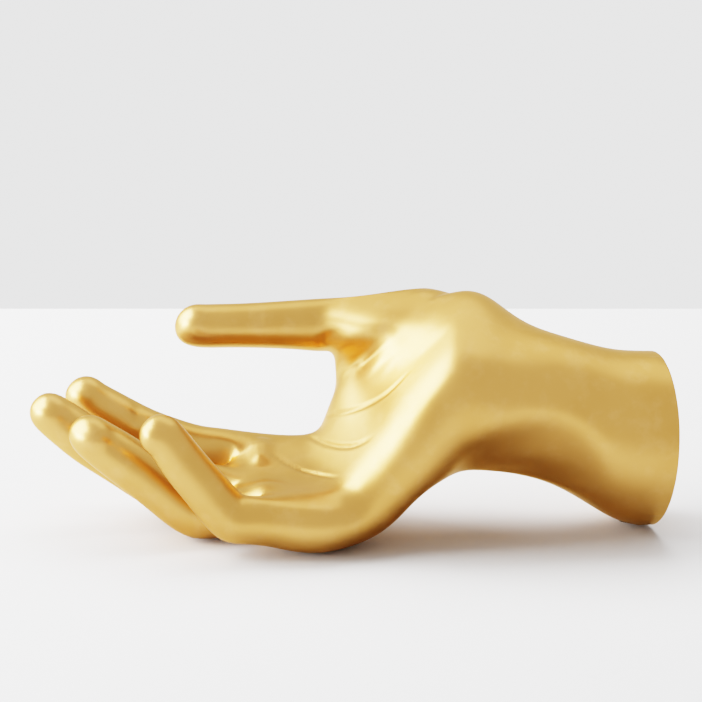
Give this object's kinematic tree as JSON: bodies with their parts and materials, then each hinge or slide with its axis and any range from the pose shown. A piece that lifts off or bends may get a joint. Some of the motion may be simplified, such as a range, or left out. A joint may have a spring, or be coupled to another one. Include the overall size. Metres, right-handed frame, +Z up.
{
  "type": "hand sculpture",
  "caption": "Free-standing cast hand lying palm up, with the fingers curling upwards and the thumb held level, used as an ornament and to hold small things.",
  "frame": {"origin": "centre of the bounding box, on the surface the sculpture stands on", "axes": "+X from the fingertips to the wrist, +Y from the little finger to the thumb, +Z up"},
  "size_m": [0.2507, 0.0856, 0.0914],
  "materials": {
    "gold_ceramic": "satin gold lustre",
    "gold_ceramic_disc": "satin gold lustre",
    "felt": "pressed felt"
  },
  "bodies": {
    "root": {"hand_shell": "gold_ceramic", "wrist_disc": "gold_ceramic_disc", "pad_little_knuckle": "felt", "pad_middle_knuckle": "felt", "pad_wrist": "felt"}
  },
  "joints": []
}
